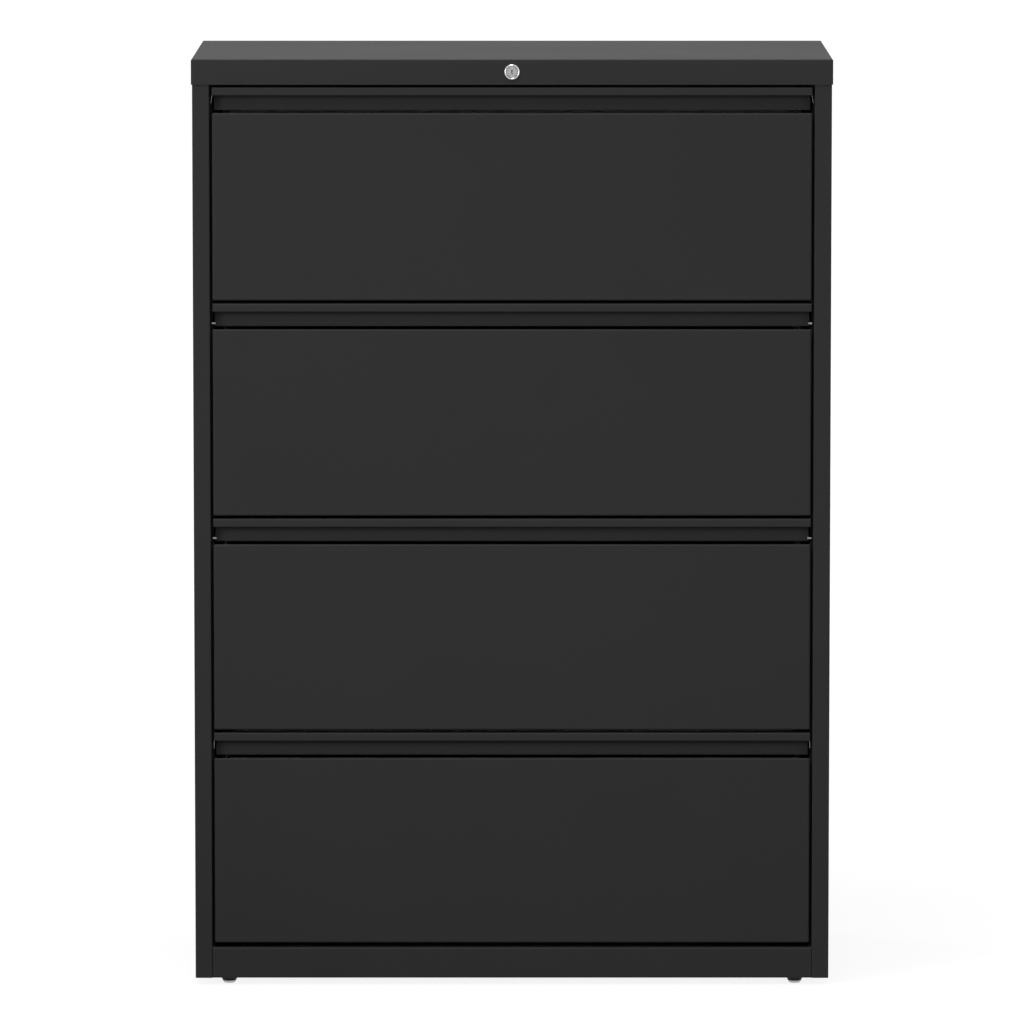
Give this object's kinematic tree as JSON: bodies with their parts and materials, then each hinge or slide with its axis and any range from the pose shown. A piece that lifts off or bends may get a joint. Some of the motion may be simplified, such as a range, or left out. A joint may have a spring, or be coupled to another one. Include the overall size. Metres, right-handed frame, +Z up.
{
  "type": "lateral filing cabinet",
  "caption": "Free-standing black sheet steel lateral filing cabinet with full-width recessed drawer pulls, drawers on telescopic ball slides, a keyed lock and levelling feet.",
  "frame": {"origin": "on the floor, under the middle of the cabinet's outline", "axes": "+X to the cabinet's right as seen from the front, +Y to the back, so the drawers open towards -Y, +Z up"},
  "size_m": [0.9144, 0.4754, 1.3335],
  "materials": {
    "black_powder_coat": "satin black powder coat with a fine orange peel",
    "zinc_plated_steel": "bright zinc plate",
    "nickel_chrome": "polished nickel chrome",
    "bare_steel": "mill scale",
    "black_nylon": "moulded black nylon"
  },
  "bodies": {
    "cabinet": {"top_cover": "black_powder_coat", "left_side_panel": "black_powder_coat", "right_side_panel": "black_powder_coat", "back_panel": "black_powder_coat", "base_pan": "black_powder_coat", "plinth_rail": "black_powder_coat", "header_rail": "black_powder_coat", "left_front_post": "black_powder_coat", "left_rear_post": "black_powder_coat", "right_front_post": "black_powder_coat", "right_rear_post": "black_powder_coat", "counterweight": "bare_steel", "lock_housing": "nickel_chrome", "drawer_1_left_outer_rail": "zinc_plated_steel", "drawer_1_right_outer_rail": "zinc_plated_steel", "drawer_2_left_outer_rail": "zinc_plated_steel", "drawer_2_right_outer_rail": "zinc_plated_steel", "drawer_3_left_outer_rail": "zinc_plated_steel", "drawer_3_right_outer_rail": "zinc_plated_steel", "drawer_4_left_outer_rail": "zinc_plated_steel", "drawer_4_right_outer_rail": "zinc_plated_steel"},
    "drawer_1": {"drawer_1_front": "black_powder_coat", "drawer_1_pull": "black_powder_coat", "drawer_1_tray": "black_powder_coat", "drawer_1_hang_frame": "zinc_plated_steel", "drawer_1_left_inner_rail": "zinc_plated_steel", "drawer_1_right_inner_rail": "zinc_plated_steel"},
    "drawer_1_runners": {"drawer_1_left_mid_rail": "zinc_plated_steel", "drawer_1_right_mid_rail": "zinc_plated_steel"},
    "drawer_2": {"drawer_2_front": "black_powder_coat", "drawer_2_pull": "black_powder_coat", "drawer_2_tray": "black_powder_coat", "drawer_2_hang_frame": "zinc_plated_steel", "drawer_2_left_inner_rail": "zinc_plated_steel", "drawer_2_right_inner_rail": "zinc_plated_steel"},
    "drawer_2_runners": {"drawer_2_left_mid_rail": "zinc_plated_steel", "drawer_2_right_mid_rail": "zinc_plated_steel"},
    "drawer_3": {"drawer_3_front": "black_powder_coat", "drawer_3_pull": "black_powder_coat", "drawer_3_tray": "black_powder_coat", "drawer_3_hang_frame": "zinc_plated_steel", "drawer_3_left_inner_rail": "zinc_plated_steel", "drawer_3_right_inner_rail": "zinc_plated_steel"},
    "drawer_3_runners": {"drawer_3_left_mid_rail": "zinc_plated_steel", "drawer_3_right_mid_rail": "zinc_plated_steel"},
    "drawer_4": {"drawer_4_front": "black_powder_coat", "drawer_4_pull": "black_powder_coat", "drawer_4_tray": "black_powder_coat", "drawer_4_hang_frame": "zinc_plated_steel", "drawer_4_left_inner_rail": "zinc_plated_steel", "drawer_4_right_inner_rail": "zinc_plated_steel"},
    "drawer_4_runners": {"drawer_4_left_mid_rail": "zinc_plated_steel", "drawer_4_right_mid_rail": "zinc_plated_steel"},
    "lock_plug": {"lock_plug": "nickel_chrome"},
    "lock_bar": {"lock_bar": "zinc_plated_steel"},
    "interlock_bar": {"interlock_bar": "black_powder_coat"},
    "front_left_foot": {"front_left_foot": "black_nylon"},
    "front_right_foot": {"front_right_foot": "black_nylon"},
    "rear_left_foot": {"rear_left_foot": "black_nylon"},
    "rear_right_foot": {"rear_right_foot": "black_nylon"}
  },
  "joints": [
    {"name": "drawer_1_slide", "type": "slide", "parent": "cabinet", "child": "drawer_1", "axis": [0, -1, 0], "range_m": [0, 0.4]},
    {"name": "drawer_1_runner_slide", "type": "slide", "parent": "cabinet", "child": "drawer_1_runners", "axis": [0, -1, 0], "range_m": [0, 0.2]},
    {"name": "drawer_2_slide", "type": "slide", "parent": "cabinet", "child": "drawer_2", "axis": [0, -1, 0], "range_m": [0, 0.4]},
    {"name": "drawer_2_runner_slide", "type": "slide", "parent": "cabinet", "child": "drawer_2_runners", "axis": [0, -1, 0], "range_m": [0, 0.2]},
    {"name": "drawer_3_slide", "type": "slide", "parent": "cabinet", "child": "drawer_3", "axis": [0, -1, 0], "range_m": [0, 0.4]},
    {"name": "drawer_3_runner_slide", "type": "slide", "parent": "cabinet", "child": "drawer_3_runners", "axis": [0, -1, 0], "range_m": [0, 0.2]},
    {"name": "drawer_4_slide", "type": "slide", "parent": "cabinet", "child": "drawer_4", "axis": [0, -1, 0], "range_m": [0, 0.4]},
    {"name": "drawer_4_runner_slide", "type": "slide", "parent": "cabinet", "child": "drawer_4_runners", "axis": [0, -1, 0], "range_m": [0, 0.2]},
    {"name": "lock_turn", "type": "hinge", "parent": "cabinet", "child": "lock_plug", "pos_m": [0, -0.2353, 1.3157], "axis": [0, -1, 0], "range_deg": [-90, 0]},
    {"name": "lock_bar_slide", "type": "slide", "parent": "cabinet", "child": "lock_bar", "axis": [1, 0, 0], "range_m": [-0.01272, 0]},
    {"name": "interlock_lift", "type": "slide", "parent": "cabinet", "child": "interlock_bar", "axis": [0, 0, 1], "range_m": [0, 0.008]},
    {"name": "front_left_foot_screw", "type": "slide", "parent": "cabinet", "child": "front_left_foot", "axis": [0, 0, -1], "range_m": [0, 0.015]},
    {"name": "front_right_foot_screw", "type": "slide", "parent": "cabinet", "child": "front_right_foot", "axis": [0, 0, -1], "range_m": [0, 0.015]},
    {"name": "rear_left_foot_screw", "type": "slide", "parent": "cabinet", "child": "rear_left_foot", "axis": [0, 0, -1], "range_m": [0, 0.015]},
    {"name": "rear_right_foot_screw", "type": "slide", "parent": "cabinet", "child": "rear_right_foot", "axis": [0, 0, -1], "range_m": [0, 0.015]}
  ],
  "couplings": [
    {"joint": "drawer_1_runner_slide", "follows": "drawer_1_slide", "ratio": 0.5},
    {"joint": "drawer_2_runner_slide", "follows": "drawer_2_slide", "ratio": 0.5},
    {"joint": "drawer_3_runner_slide", "follows": "drawer_3_slide", "ratio": 0.5},
    {"joint": "drawer_4_runner_slide", "follows": "drawer_4_slide", "ratio": 0.5},
    {"joint": "lock_turn", "follows": "lock_bar_slide", "rad_per_m": 123.41}
  ]
}
